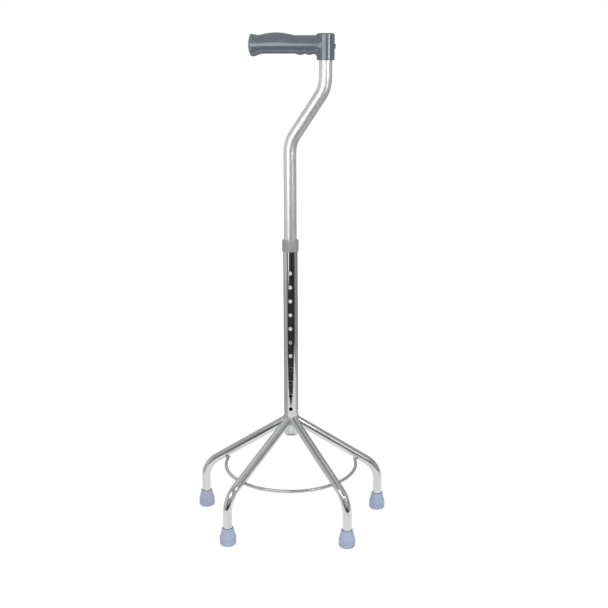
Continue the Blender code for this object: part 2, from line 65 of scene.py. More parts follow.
# Tubes and their welds
LOWER_WALL = 0.0013
UPPER_WALL = 0.0012
LEG_WALL = 0.0012
NECK_ANGLE = math.radians(33.8)
NECK_RADIUS = 0.055
HEAD_LENGTH = 0.0655
HUB_HEIGHT = 0.180
LEG_RADIUS = 0.00795
LEG_CORNER_HEIGHT = 0.083
LEG_BEND_RADIUS = 0.045
HOOP_ROD_RADIUS = 0.003
ROOT_WELD_RADIUS = 0.0013
VALLEY_WELD_RADIUS = 0.0006
HOOP_WELD_RADIUS = 0.0037
HOOP_WELD_HEIGHT = 0.0021
HOOP_END_EDGE = 0.0008
WELD_RIPPLES = 26
WELD_RIPPLE_SHARE = 0.08
WELD_STAND = 0.0001
WELD_SMOOTHINGS = 8

# Clearance of mating pieces, and radii of small edges
CLEARANCE = 0.0003
EASED_EDGE = 0.0003
CRISP_EDGE = 0.0002

# Holes in the tubes
HOLE_RADIUS = 0.0034
HOLE_PITCH = 0.0254
LOWEST_HOLE = HUB_HEIGHT + 0.019
HOLE_COUNT = 11
BUTTON_HOLE = 5
BUTTON_HEIGHT = LOWEST_HOLE + BUTTON_HOLE * HOLE_PITCH

# Handle, with heights from the upper tube's top end and distances back from the socket's axis
SOCKET_RADIUS = 0.015
SOCKET_CAP = 0.0061
SOCKET_DEPTH = 0.0375
SOCKET_EDGE = 0.0024
SOCKET_FILLET = 0.0027
FULLEST_FILLET = 0.9
SOCKET_CROWN = 0.0006
SOCKET_MOUTH_EDGE = 0.0008
SEAT_DEPTH = 0.0007
GRIP_TOP = 0.0028
GRIP_UNDERSIDE = -0.0268
GRIP_HALF_WIDTH = 0.0132
GRIP_BELLY = 0.0015
GRIP_SQUARENESS = 2.15
GRIP_RIM = 0.125
GRIP_END_EDGE = 0.0012
GRIP_END_CROWN = 0.0035
GRIP_EDGE_TURN = 60
SWELL_CENTRE = 0.083
SWELL_HALF_LENGTH = 0.031
SWELL_HEIGHT = 0.0045
SWELL_WIDTH = 0.0002
FLARE_START = 0.109
TOP_FLARE = 0.0023
SIDE_FLARE = 0.0004
LOBE_START = 0.1045
LOBE_PEAK = 0.1215
LOBE_DEPTH = 0.0044
LOBE_ROUND = 0.0018
RIDGE_CENTRES = (0.0272, 0.0425)
RIDGE_HALF_LENGTH = 0.0078
RIDGE_HEIGHT = 0.0022
GUSSET_START = 0.0217
GUSSET_LENGTH = 0.0078

# Screw and button
SCREW_HEAD = 0.002
SCREW_SHANK = 0.0019
SCREW_DOME = 0.0013
SCREW_SLOT = (0.0022, 0.02, 0.0011)
BUTTON_RADIUS = 0.0031
BUTTON_FOOT = 0.0038
BUTTON_ROOT = 0.0001
BUTTON_DOME = 0.0021
LEAF = 0.0008

# Ferrules
FERRULE_BAND = 0.0135
FERRULE_LIP = 0.0006
FERRULE_WAIST = 0.0003
FERRULE_TOP_WALL = 0.0017
WAIST_RADIUS = 0.02
RIM_TAPER = 0.0004
RIM_HEIGHT = 0.002
RIM_EDGE = 0.0006
MOUTH_EDGE = 0.0005
MOUTH_DEPTH = 0.0015
SOLE_EDGE = 0.0025
SOLE_THICKNESS = 0.009
TREAD_RADII = (0.0045, 0.0085)
TREAD_GROOVE = 0.0017
TREAD_DEPTH = 0.0012

# Collar and plug
COLLAR_STEP = 0.006
COLLAR_SKIRT_EDGE = 0.0016
COLLAR_TOP_EDGE = 0.0020
COLLAR_LIP_EDGE = 0.0004
PLUG_EDGE = 0.0008

# Facets of the surfaces, and turns in degrees past which an edge is bevelled or stays sharp
COLUMNS = 96
SMALL_COLUMNS = 64
ROD_COLUMNS = 32
BEAD_COLUMNS = 16
GRIP_COLUMNS = 128
GRIP_ROWS = 240
GRIP_EDGE_ROWS = 9
GRIP_CROWN_ROWS = 17
HOOP_ROWS = 260
ROOT_ROWS = 12
WELD_ROWS = 17
CELL = 12
RINGS = 4
ROW_STEP = 0.004
ARC_STEP = math.radians(3)
BEVEL_SEGMENTS = 2
BEVEL_TURN = 50
SHARP_TURN = 40
SOFT_TURN = 60
EPSILON = 0.000001

# Colours of the finishes
CHROME_CLEAR = (0.68, 0.69, 0.70, 1.0)
CHROME_HAZY = (0.56, 0.57, 0.575, 1.0)
ALUMINIUM_DARK = (0.71, 0.715, 0.72, 1.0)
ALUMINIUM_LIGHT = (0.79, 0.795, 0.80, 1.0)
ALUMINIUM_RUBBED = (0.90, 0.90, 0.89, 1.0)
STEEL_DULL = (0.50, 0.49, 0.45, 1.0)
STEEL_BRIGHT = (0.66, 0.65, 0.60, 1.0)
SCREW_DULL = (0.16, 0.155, 0.15, 1.0)
SCREW_BRIGHT = (0.30, 0.29, 0.28, 1.0)
SLATE_DARK = (0.096, 0.123, 0.153, 1.0)
SLATE_LIGHT = (0.108, 0.138, 0.171, 1.0)
GREY_DARK = (0.31, 0.31, 0.318, 1.0)
GREY_LIGHT = (0.41, 0.41, 0.418, 1.0)
RUBBER_DARK = (0.475, 0.57, 0.76, 1.0)
RUBBER_LIGHT = (0.54, 0.645, 0.84, 1.0)
# Darker tone at the ferrules' soles: dirt, and painted contact shadow where they stand on the floor
RUBBER_DIRT_AND_SHADE = (0.20, 0.24, 0.30, 1.0)

# The middle of a noise's range
NOISE_MIDDLE = (0.3, 0.7)

# How dull the chrome's mirror is, and how metallic the aluminium is, clear and rubbed
TUBE_DULLNESS = 0.035
ROD_DULLNESS = 0.16
CLEAR_METALLIC = 0.85
RUBBED_METALLIC = 0.20

# The room that the metal reflects: the table's edges, the room's radius and middle, and the grids' counts
TABLE_NEAR = 0.3
TABLE_FRONT = -0.47
TABLE_RIGHT = (0.70, 0.86)
TABLE_SLANT = (0.97, 0.24)
TABLE_LEVEL = 0.98
ROOM_RADIUS = 3.5
ROOM_EYE = 0.15
FLOOR_ROWS = 90
FLOOR_COLUMNS = 361
WALL_ROWS = 94
WALL_COLUMNS = 181
LAMP_ROWS = 25
LAMP_COLUMNS = 49

# Shades of the floor round the table: how light, azimuths in degrees, how softly they end, and their share
FLOOR_LEVEL = 0.45
FLOOR_SHADES = [
    (0.58, (-108, -78), 12, 1),
    (0.32, (-62, -45), 5, 1),
    (0.035, (-46, 68), 4, 1),
    (0.10, (-6, 8), 4, 0.6),
    (0.12, (58, 78), 7, 1),
    (0.36, (80, 124), 7, 1),
    (0.24, (124, 150), 8, 1),
]
NEAR_RIGHT_LEVEL = 0.50

# Shades of the floor far out: how light, azimuths and how softly they end, and where they rise
FAR_SHADES = [
    (1.5, (-36, -22), 3, (1.7, 2.2)),
    (0.68, (-130, -60), 8, (1.6, 2.2)),
]

# Shades of the walls: how light, azimuths and how softly they end, elevations and how softly they end
WALL_LEVEL = 0.56
WALL_SHADES = [
    (0.72, (-125, -50), 15, (-9, 26), 8),
    (0.62, (-165, -95), 15, (20, 42), 6),
    (0.84, (-150, -95), 10, (52, 80), 6),
    (0.31, (-50, -12), 6, (-90, 27), 5),
    (0.45, (8, 60), 6, (-90, 14), 5),
    (0.30, (-5, 40), 6, (42, 66), 6),
    (0.34, (56, 80), 6, (6, 38), 5),
    (0.48, (-85, -58), 7, (26, 44), 6),
    (0.26, (-80, -45), 6, (52, 80), 5),
    (0.12, (-32, 36), 5, (-90, 8), 3),
    (0.42, (88, 180), 12, (-9, 48), 8),
]
BACK_LEVEL = 0.14
CEILING_LEVEL = 0.66

# Faces of the lamps in reflections: how far out, azimuths in degrees at the foot, how many degrees they lean
# to the left in each metre up, heights, how far down the top fades, and how bright
LAMP_FACES = [
    ("left_lamp_face", 1.05, (-49, 5), 0, (0.68, 1.22), 0.24, 3.2),
    ("left_lamp_foot", 0.55, (-44, -16), 0, (0.396, 0.72), 0.05, 3.0),
    ("right_lamp_face", 1.05, (40, 54), 14, (0.745, 1.20), 0.24, 9.6),
    ("right_lamp_foot", 0.80, (39, 54), 0, (0.38, 0.74), 0.05, 1.5),
]
LAMP_EDGE = 0.07

# The lamps themselves: places, sizes and radiance, and the height above which they don't aim
SOFTBOXES = [
    ("softbox_left", (-0.52, -0.82, 1.08), (0.68, 0.64), 4.0),
    ("softbox_right", (0.735, -0.73, 1.08), (0.44, 0.64), 6.2),
    ("softbox_above", (0.4, -0.6, 2.6), (1.6, 1.6), 0.3),
]
HIGHEST_AIM = 1.08
WORLD_LEVEL = 0.38

# The floor: half its width, its colour, its glow, and how far out the cane's shadow fades
FLOOR_HALF_WIDTH = 30
FLOOR_GREY = 0.9
FLOOR_GLOW = 1.10
SHADOW_FADE = (0.3, 0.9)

# The photograph's camera, with its angles in degrees
LENS = 53.01
SENSOR_WIDTH = 36.0
CAMERA_PLACE = (0.0832, -1.4749, 0.7950)
CAMERA_DROP = 14.50
CAMERA_TURN = 2.196
CAMERA_ROLL = -0.066


def unit(vector):
    """A vector, or rows of vectors, at length 1."""
    return vector / np.linalg.norm(vector, axis=-1, keepdims=True)


def rounded(corners, radii):
    """Points and tangents of a path whose inner corners are arcs: centre + r (cos t out + sin t arriving)."""
    corners = np.array(corners, float)
    arriving = unit(corners[1] - corners[0])
    points = [corners[:1]]
    tangents = [arriving[None]]
    for here, after, radius in zip(corners[1:], corners[2:], radii):
        leaving = unit(after - here)
        turn = math.acos(min(arriving @ leaving, 1.0))
        centre = here + unit(leaving - arriving) * radius / math.cos(turn / 2)
        out = unit(here - arriving * radius * math.tan(turn / 2) - centre)
        angle = np.linspace(0, turn, math.ceil(turn / ARC_STEP) + 1)[:, None]
        points.append(centre + radius * (np.cos(angle) * out + np.sin(angle) * arriving))
        tangents.append(np.cos(angle) * arriving - np.sin(angle) * out)
        arriving = leaving
    points.append(corners[-1:])
    tangents.append(arriving[None])
    return np.concatenate(points), np.concatenate(tangents)


class Route:
    """A tube's middle line in one plane: points, tangents, and the distance along it."""

    def __init__(self, corners, radius, side):
        self.points, self.tangents = rounded(corners, [radius] * (len(corners) - 2))
        steps = np.linalg.norm(np.diff(self.points, axis=0), axis=1)
        self.along = np.concatenate([[0.0], np.cumsum(steps)])
        self.side = np.array(side, float)
        self.length = self.along[-1]

    def at(self, along, values):
        """Values of the route at distances along it, straight on past its ends."""
        return np.stack([np.interp(along, self.along, values[:, axis]) for axis in range(3)], -1)

    def surface(self, along, angle, radius):
        """middle(along) + radius (cos angle normal + sin angle side), with normal = side x tangent."""
        middle = self.at(along, self.points)
        normal = np.cross(self.side, unit(self.at(along, self.tangents)))
        radius = np.asarray(radius)[..., None]
        return middle + radius * (np.cos(angle)[..., None] * normal + np.sin(angle)[..., None] * self.side)


def turns(count):
    """Even angles once round, from 0."""
    return np.arange(count) * math.tau / count


def quads(rows, columns, closed=True):
    """Corner numbers of a grid's faces. The columns run round, or end where they aren't closed."""
    last = columns if closed else columns - 1
    row, column = np.meshgrid(np.arange(rows - 1), np.arange(last), indexing="ij")
    after = (column + 1) % columns
    ring = row * columns
    above = ring + columns
    return np.stack([ring + column, ring + after, above + after, above + column], -1).reshape(-1, 4)


def added(name, data):
    """A new object in the scene."""
    item = bpy.data.objects.new(name, data)
    bpy.context.scene.collection.objects.link(item)
    return item


def form(name, patches, material, sharp_turn):
    """Welds patches of (points, straightened points, faces) into one object."""
    points = []
    straight = []
    faces = []
    count = 0
    for patch_points, patch_straight, patch_faces in patches:
        points.append(patch_points.reshape(-1, 3))
        straight.append(patch_straight.reshape(-1, 3))
        faces.append(patch_faces + count)
        count += len(points[-1])
    mesh = bpy.data.meshes.new(name)
    mesh.from_pydata(np.concatenate(points).tolist(), [], np.concatenate(faces).tolist())
    drawn = mesh.attributes.new("drawn", "FLOAT_VECTOR", "POINT")
    drawn.data.foreach_set("vector", np.concatenate(straight).astype(np.float32).ravel())
    bm = bmesh.new()
    bm.from_mesh(mesh)
    bmesh.ops.delete(bm, geom=[vertex for vertex in bm.verts if not vertex.link_faces], context="VERTS")
    bmesh.ops.remove_doubles(bm, verts=bm.verts, dist=EPSILON)
    bmesh.ops.dissolve_degenerate(bm, edges=bm.edges, dist=EPSILON / 10)
    bm.to_mesh(mesh)
    bm.free()
    mesh.shade_smooth()
    mesh.set_sharp_from_angle(angle=math.radians(sharp_turn))
    mesh.materials.append(material)
    return added(name, mesh)


def piece(name, patches, material, body, sharp_turn=SHARP_TURN):
    """A form that rides on a body, with the material it is given."""
    item = form(name, patches, material, sharp_turn)
    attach(item, body)
    return item


def add_wall(item, thickness):
    """Gives a surface its wall, inward."""
    wall = item.modifiers.new("wall", "SOLIDIFY")
    wall.thickness = thickness
    wall.offset = -1


def ease_edges(item):
    """Rounds the sharp edges and lets the large faces keep their own shading."""
    bevel = item.modifiers.new("eased_edges", "BEVEL")
    bevel.width = CRISP_EDGE
    bevel.segments = BEVEL_SEGMENTS
    bevel.limit_method = "ANGLE"
    bevel.angle_limit = math.radians(BEVEL_TURN)
    weighted = item.modifiers.new("shading", "WEIGHTED_NORMAL")
    weighted.keep_sharp = False


def turned(profile, centre, columns=COLUMNS, axis="Z"):
    """A profile of (radius, height) turned round an axis: r cos a and r sin a across it, height along it."""
    profile = np.array(profile, float)
    angle = turns(columns)
    radius = profile[:, :1] * np.ones(columns)
    height = profile[:, 1:] * np.ones(columns)
    grid = np.stack([radius * np.cos(angle), radius * np.sin(angle), height], -1)
    if axis == "X":
        grid = grid[..., [2, 0, 1]]
    if axis == "-Y":
        grid = grid[..., [0, 2, 1]] * [1, -1, 1]
    points = grid + np.array(centre)
    return points, points, quads(len(profile), columns)


def lathed(corners, radii, centre, columns=COLUMNS, axis="Z"):
    """A turned form whose profile's inner corners are rounded."""
    corners = [(radius, height, 0.0) for radius, height in corners]
    return turned(rounded(corners, radii)[0][:, :2], centre, columns, axis)


def row_lines(start, end, holes, half):
    """Places of a tube's rows: even through each hole's cell, and wider between the cells."""
    cells = [np.linspace(hole - half, hole + half, CELL + 1) for hole in holes]
    edges = [start] + [value for cell in cells for value in (cell[0], cell[-1])] + [end]
    gaps = [np.linspace(low, high, math.ceil((high - low) / ROW_STEP) + 1)
            for low, high in zip(edges[::2], edges[1::2])]
    return np.unique(np.concatenate(cells + gaps).round(8))


def hole_ring(radius, half):
    """Rings from a drilled hole's edge out to its square cell, as distances (around, along) on the tube laid
    flat. The edge is along = h sin t and around = radius asin(h cos t / radius)."""
    side = np.linspace(-1, 1, CELL, endpoint=False)
    ones = np.ones(CELL)
    corners = [(side, -ones), (ones, side), (-side, ones), (-ones, -side)]
    square = np.concatenate([np.stack(pair, -1) for pair in corners]) * half
    turn = np.arctan2(square[:, 1], square[:, 0])
    edge = np.stack([radius * np.arcsin(HOLE_RADIUS * np.cos(turn) / radius), HOLE_RADIUS * np.sin(turn)], -1)
    share = np.linspace(0, 1, RINGS + 1)[:, None, None]
    return edge * (1 - share) + square * share


def holed_tube(route, radius, holes):
    """Patches of a tube's outer face, with a ring patch round each hole, given as (along, angle)."""
    step = math.tau / COLUMNS
    half = radius * step * CELL / 2
    rows = row_lines(0, route.length, sorted({along for along, _ in holes}), half)
    rows = np.union1d(rows, route.along.round(8))
    angles = np.arange(COLUMNS) * step
    along, angle = np.meshgrid(rows, angles, indexing="ij")
    middle_row = (rows[1:] + rows[:-1])[:, None] / 2
    middle_angle = angles + step / 2
    in_cell = np.zeros((len(rows) - 1, COLUMNS), bool)
    for hole, turn in holes:
        in_cell |= (abs(middle_row - hole) < half) & (abs(middle_angle - turn) < half / radius)
    faces = quads(len(rows), COLUMNS)[~in_cell.ravel()]
    patches = [tube_patch(route, radius, along, angle, faces)]
    ring = hole_ring(radius, half)
    ring_faces = quads(RINGS + 1, 4 * CELL)[:, ::-1]
    for hole, turn in holes:
        angle = turn + ring[..., 0] / radius
        patches.append(tube_patch(route, radius, hole + ring[..., 1], angle, ring_faces))
    return patches


def tube_patch(route, radius, along, angle, faces):
    """A patch on a tube, with its points as if the tube were straight."""
    straight = np.stack([radius * np.cos(angle), radius * np.sin(angle), along], -1)
    return route.surface(along, angle, radius), straight, faces


class Wire:
    """A node's socket. Arithmetic on it adds Math nodes."""

    def __init__(self, graph, socket):
        self.graph = graph
        self.socket = socket

    def math(self, operation, *values):
        """A Math node on this wire and other values."""
        return self.graph.node("ShaderNodeMath", {"operation": operation}, dict(enumerate((self, *values))))

    def __add__(self, other):
        return self.math("ADD", other)

    __radd__ = __add__

    def __mul__(self, other):
        return self.math("MULTIPLY", other)

    __rmul__ = __mul__

    def __sub__(self, other):
        return self.math("SUBTRACT", other)

    def __rsub__(self, other):
        return self.graph.node("ShaderNodeMath", {"operation": "SUBTRACT"}, {0: other, 1: self})


class Graph:
    """The node tree of a material or a world, with one method that adds any node."""

    def __init__(self, owner):
        owner.use_nodes = True
        self.owner = owner
        self.tree = owner.node_tree

    def node(self, kind, settings=None, inputs=None, output=0):
        """Adds a node: its settings first, then the values or links of its sockets. Gives one output."""
        node = self.tree.nodes.new(kind)
        for name, value in (settings or {}).items():
            setattr(node, name, value)
        for name, value in (inputs or {}).items():
            self.connect(node.inputs[name], value)
        return Wire(self, node.outputs[output])

    def connect(self, socket, value):
        """Links a wire to a socket, or sets the socket's value."""
        if isinstance(value, Wire):
            self.tree.links.new(value.socket, socket)
        else:
            socket.default_value = value

    def finish(self, kind="Principled BSDF", **inputs):
        """Sets the sockets of the tree's own shader, with underscores for spaces. Gives the tree's owner."""
        for name, value in inputs.items():
            self.connect(self.tree.nodes[kind].inputs[name.replace("_", " ")], value)
        return self.owner

    def show(self, shader):
        """Makes a shader the material's surface."""
        self.connect(self.tree.nodes["Material Output"].inputs["Surface"], shader)

    def place(self, stretch=(1.0, 1.0, 1.0), attribute=None):
        """Coordinates on the piece, scaled: its own place, or the straightened tube's."""
        if attribute:
            source = self.node("ShaderNodeAttribute", {"attribute_name": attribute}, output="Vector")
        else:
            source = self.node("ShaderNodeTexCoord", output="Object")
        return self.node("ShaderNodeMapping", {"vector_type": "POINT"}, {"Vector": source, "Scale": stretch})

    def noise(self, place, scale, detail=2.0, roughness=0.5):
        """Noise from 0 to 1."""
        return self.node("ShaderNodeTexNoise", {"noise_dimensions": "3D"},
                         {"Vector": place, "Scale": scale, "Detail": detail, "Roughness": roughness})

    def level(self, value, low, high, start=0.0, end=1.0):
        """Moves a value's range low..high to start..end, clamped."""
        return self.node("ShaderNodeMapRange", {"clamp": True},
                         {"Value": value, "From Min": low, "From Max": high, "To Min": start, "To Max": end})

    def spread(self, noise, start=0.0, end=1.0):
        """Spreads the middle of a noise's range over start..end."""
        return self.level(noise, *NOISE_MIDDLE, start, end)

    def mix(self, factor, first, second):
        """Mixes two colours."""
        return self.node("ShaderNodeMix", {"data_type": "RGBA"},
                         {"Factor": factor, "A": first, "B": second}, "Result")

    def bump(self, height, distance, strength=1.0):
        """A normal bent by a height in metres."""
        return self.node("ShaderNodeBump", {}, {"Height": height, "Distance": distance, "Strength": strength})


def material_graph(name):
    """The node tree of a new material."""
    return Graph(bpy.data.materials.new(name))


def seen_by_rays(graph):
    """1 for a ray from the camera, off a gloss or through clear glass, and 0 for light that falls on it."""
    names = ("Is Camera Ray", "Is Glossy Ray", "Is Transmission Ray")
    camera, glossy, clear = (graph.node("ShaderNodeLightPath", output=name) for name in names)
    return camera.math("MAXIMUM", glossy).math("MAXIMUM", clear)


def grey(level):
    """A neutral colour."""
    return (level, level, level, 1.0)


def chrome_plate(name, dullness):
    """Mirror chrome on drawn steel: draw lines and faint bands along the tube, wipe marks, slow waviness."""
    graph = material_graph(name)
    lines = graph.noise(graph.place((1.0, 1.0, 0.02), "drawn"), scale=1400, detail=3.0)
    waves = graph.noise(graph.place((1.0, 1.0, 0.35), "drawn"), scale=70, detail=1.0)
    bands = graph.noise(graph.place((1.0, 1.0, 0.03), "drawn"), scale=330, detail=1.0)
    wipes = graph.noise(graph.place(), scale=38, detail=4.0, roughness=0.6)
    haze = graph.level(wipes, 0.35, 0.75, 0.0, 0.5) + graph.level(bands, 0.35, 0.65, 0.0, 0.5)
    colour = graph.mix(haze, CHROME_CLEAR, CHROME_HAZY)
    wiped = graph.level(wipes, 0.3, 0.8, dullness, dullness + 0.05)
    roughness = wiped + graph.level(lines, 0.4, 0.8, 0.0, 0.03)
    normal = graph.bump(lines * 0.12 + waves, distance=0.00003)
    return graph.finish(Base_Color=colour, Metallic=1.0, Roughness=roughness, Normal=normal)


def anodised_aluminium():
    """Bright anodised aluminium: fine lengthwise brushing under a clear oxide film, rubbed pale and matt over
    the length that slides in the lower tube."""
    graph = material_graph("anodised_aluminium")
    lines = graph.noise(graph.place((1.0, 1.0, 0.012), "drawn"), scale=2600, detail=4.0, roughness=0.6)
    broad = graph.noise(graph.place((1.0, 1.0, 0.15), "drawn"), scale=120)
    colour = graph.mix(graph.spread(lines), ALUMINIUM_DARK, ALUMINIUM_LIGHT)
    height = graph.node("ShaderNodeSeparateXYZ", {}, {"Vector": graph.place()}, "Z")
    rubbed = graph.level(height, collar_low.z, collar_high.z, 1.0, 0.0)
    colour = graph.mix(rubbed, colour, ALUMINIUM_RUBBED)
    roughness = graph.spread(lines, 0.33, 0.41) + graph.spread(broad, -0.02, 0.03)
    metallic = CLEAR_METALLIC - rubbed * (CLEAR_METALLIC - RUBBED_METALLIC)
    normal = graph.bump(lines, distance=0.00001, strength=0.5)
    return graph.finish(Base_Color=colour, Metallic=metallic, Roughness=roughness, Normal=normal)


def plated_steel(name, dull, bright):
    """Plated steel with a fine crystalline dullness between two colours."""
    graph = material_graph(name)
    grain = graph.noise(graph.place(), scale=900, detail=3.0)
    colour = graph.mix(grain, dull, bright)
    return graph.finish(Base_Color=colour, Metallic=1.0, Roughness=graph.spread(grain, 0.2, 0.36),
                        Normal=graph.bump(grain, distance=0.00002))


def slate_plastic():
    """Semi-gloss moulded plastic with a fine moulded grain and faint handling marks."""
    graph = material_graph("slate_plastic")
    place = graph.place()
    grain = graph.noise(place, scale=2200)
    cloud = graph.noise(place, scale=60, detail=3.0)
    rub = graph.noise(graph.place((0.25, 1.0, 1.0)), scale=420, detail=4.0, roughness=0.65)
    colour = graph.mix(graph.spread(cloud), SLATE_DARK, SLATE_LIGHT)
    roughness = graph.spread(cloud, 0.11, 0.15) + graph.level(rub, 0.45, 0.8, 0.0, 0.05)
    normal = graph.bump(grain * 0.5 + rub * 0.5, distance=0.00001, strength=0.5)
    return graph.finish(Base_Color=colour, Roughness=roughness, Normal=normal, Coat_Weight=0.8,
                        Coat_Roughness=0.11)


def grey_plastic():
    """Matt moulded plastic, a little mottled."""
    graph = material_graph("grey_plastic")
    place = graph.place()
    mottle = graph.noise(place, scale=520, detail=4.0, roughness=0.6)
    grain = graph.noise(place, scale=2600)
    colour = graph.mix(graph.spread(mottle), GREY_DARK, GREY_LIGHT)
    roughness = graph.spread(mottle, 0.17, 0.28)
    normal = graph.bump(grain, distance=0.00006, strength=0.6)
    return graph.finish(Base_Color=colour, Roughness=roughness, Normal=normal)


def blue_rubber():
    """Matt rubber: a dusty bloom, moulded grain, and a darker band at the sole that is partly dirt and partly
    painted contact shadow.
    """
    graph = material_graph("blue_rubber")
    place = graph.place()
    bloom = graph.noise(place, scale=160, detail=5.0, roughness=0.65)
    grain = graph.noise(place, scale=2400, detail=3.0)
    height = graph.node("ShaderNodeSeparateXYZ", {}, {"Vector": place}, "Z")
    # Darker within 6 mm of the floor: a little dirt, and painted contact shadow at the sole
    dirt_and_shade = graph.level(height + bloom * 0.004, 0.0, 0.006, 1.0, 0.0)
    clean = graph.mix(graph.spread(bloom), RUBBER_DARK, RUBBER_LIGHT)
    colour = graph.mix(dirt_and_shade * 0.35, clean, RUBBER_DIRT_AND_SHADE)
    roughness = graph.spread(bloom, 0.62, 0.8)
    normal = graph.bump(grain, distance=0.00008, strength=0.7)
    return graph.finish(Base_Color=colour, Roughness=roughness, Normal=normal)


def make_lower_tube(chrome):
    """Chromed tube with its height holes, front and back."""
    route = Route([(0, SHAFT_Y, lower_low.z), (0, SHAFT_Y, lower_high.z)], 0, (0, -1, 0))
    heights = LOWEST_HOLE - lower_low.z + HOLE_PITCH * np.arange(HOLE_COUNT)
    holes = [(height, turn) for height in heights for turn in (math.pi / 2, 3 * math.pi / 2)]
    tube = piece("shaft_tube", holed_tube(route, LOWER_RADIUS, holes), chrome, "base")
    add_wall(tube, LOWER_WALL)
    ease_edges(tube)
    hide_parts("lower_tube")


def make_upper_tube(aluminium):
    """Tube with the two bends of its offset neck."""
    upper_corner = upper_high.z - HEAD_LENGTH - NECK_RADIUS * math.tan(NECK_ANGLE / 2)
    lower_corner = upper_corner - NECK_OFFSET / math.tan(NECK_ANGLE)
    corners = [(0, SHAFT_Y, upper_low.z), (0, SHAFT_Y, lower_corner)]
    corners += [(NECK_OFFSET, SHAFT_Y, upper_corner), (NECK_OFFSET, SHAFT_Y, upper_high.z)]
    route = Route(corners, NECK_RADIUS, (0, -1, 0))
    button_hole = (BUTTON_HEIGHT - upper_low.z, math.pi / 2)
    tube = piece("neck_tube", holed_tube(route, UPPER_RADIUS, [button_hole]), aluminium,
                 "upper_shaft")
    add_wall(tube, UPPER_WALL)
    ease_edges(tube)
    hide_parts("upper_tube")


def foot_place(name):
    """Middle of a ferrule on the floor."""
    low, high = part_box(f"ferrule_{name}")
    return np.array([(low.x + high.x) / 2, (low.y + high.y) / 2])


def leg_frame(name):
    """A leg's reach from the shaft, its outward direction, and the horizontal side direction."""
    out = foot_place(name) - [0, SHAFT_Y]
    reach = np.linalg.norm(out)
    out = out / reach
    return reach, np.array([*out, 0.0]), np.array([out[1], -out[0], 0.0])


def leg_start(name, angle):
    """Where each line of a leg's face begins, along its slope: on the shaft's face, or on the upright plane
    halfway to a neighbour. With the line at radius sin(angle) to the side, the shaft's face is at
    sqrt(R^2 - side^2) out and the plane at |side| / tan(half the angle between)."""
    reach, out, side = leg_frame(name)
    slope = math.atan2(HUB_HEIGHT - LEG_CORNER_HEIGHT, reach)
    across = LEG_RADIUS * np.sin(angle)
    out_to_shaft = np.sqrt(LOWER_RADIUS ** 2 - across ** 2)
    furthest = out_to_shaft
    for other in FEET:
        if other != name:
            _, other_out, _ = leg_frame(other)
            between = math.atan2(other_out @ side, other_out @ out)
            toward = np.maximum(across * math.copysign(1, between), 0)
            furthest = np.maximum(furthest, toward / math.tan(abs(between) / 2))
    lifted = LEG_RADIUS * np.cos(angle) * math.sin(slope)
    return (furthest - lifted) / math.cos(slope), furthest > out_to_shaft + EPSILON


def leg_route(name):
    """A leg's middle line from the shaft's axis to its foot."""
    reach, out, side = leg_frame(name)
    hub = np.array([0, SHAFT_Y, HUB_HEIGHT])
    foot = hub + reach * out
    foot_low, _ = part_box(f"leg_{name}")
    corners = [hub, (foot[0], foot[1], LEG_CORNER_HEIGHT), (foot[0], foot[1], foot_low.z)]
    return Route(corners, LEG_BEND_RADIUS, side)


def make_leg(name, chrome):
    """Bent tube whose upper end is coped to the shaft and mitred to its neighbours."""
    route = leg_route(name)
    angles = turns(COLUMNS)
    start, _ = leg_start(name, angles)
    clear = start.max() + LEG_RADIUS / 2
    share = np.linspace(0, 1, ROOT_ROWS)[:, None]
    root = start * (1 - share) + clear * share
    bend = route.along[route.along > clear]
    rows = np.unique(np.concatenate([np.arange(clear + ROW_STEP, route.length, ROW_STEP * 2), bend]))
    along = np.concatenate([root, rows[:, None] * np.ones(COLUMNS)])
    angle = np.ones((len(along), 1)) * angles
    patch = tube_patch(route, LEG_RADIUS, along, angle, quads(len(along), COLUMNS))
    leg = piece(f"leg_tube_{name}", [patch], chrome, "base")
    add_wall(leg, LEG_WALL)
    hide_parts(f"leg_{name}")


def bead(curve, radius):
    """A round bead along a closed curve: curve + radius (cos a first + sin a second), square to the curve."""
    tangent = unit(np.roll(curve, -1, axis=0) - np.roll(curve, 1, axis=0))
    second = unit(np.cross(tangent, curve - curve.mean(axis=0)))
    first = np.cross(second, tangent)
    angle = turns(BEAD_COLUMNS)
    spread = np.cos(angle)[:, None] * first[:, None] + np.sin(angle)[:, None] * second[:, None]
    points = curve[:, None] + radius[:, None, None] * spread
    points = np.concatenate([points, points[:1]])
    return points, points, quads(len(points), BEAD_COLUMNS)


def make_leg_weld(name, chrome):
    """Rippled weld bead round a leg's root, thin in the valley to a neighbour. It stands a little way down
    the leg, so that it stays out of the shaft's bore, where the upper tube slides."""
    route = leg_route(name)
    angles = turns(2 * COLUMNS)
    start, mitred = leg_start(name, angles)
    ripple = 1 + WELD_RIPPLE_SHARE * np.cos(angles * WELD_RIPPLES)
    width = np.where(mitred, VALLEY_WELD_RADIUS, ROOT_WELD_RADIUS)
    for _ in range(WELD_SMOOTHINGS):
        width = (np.roll(width, 1) + width + np.roll(width, -1)) / 3
    curve = route.surface(start + width - VALLEY_WELD_RADIUS, angles, LEG_RADIUS + WELD_STAND)
    piece(f"root_weld_{name}", [bead(curve, width * ripple)], chrome, "base", SOFT_TURN)


def hoop_circle():
    """The hoop's radius and middle, from the frame."""
    radius = (hoop_high.x - hoop_low.x) / 2 - HOOP_ROD_RADIUS
    middle = np.array([0, hoop_low.y + HOOP_ROD_RADIUS + radius, (hoop_low.z + hoop_high.z) / 2])
    return radius, middle


def closed_ends(rings):
    """Rings with the middle of the first before them and the middle of the last after them."""
    first, last = (np.broadcast_to(ring.mean(axis=0), ring.shape)[None] for ring in (rings[0], rings[-1]))
    return np.concatenate([first, rings, last])


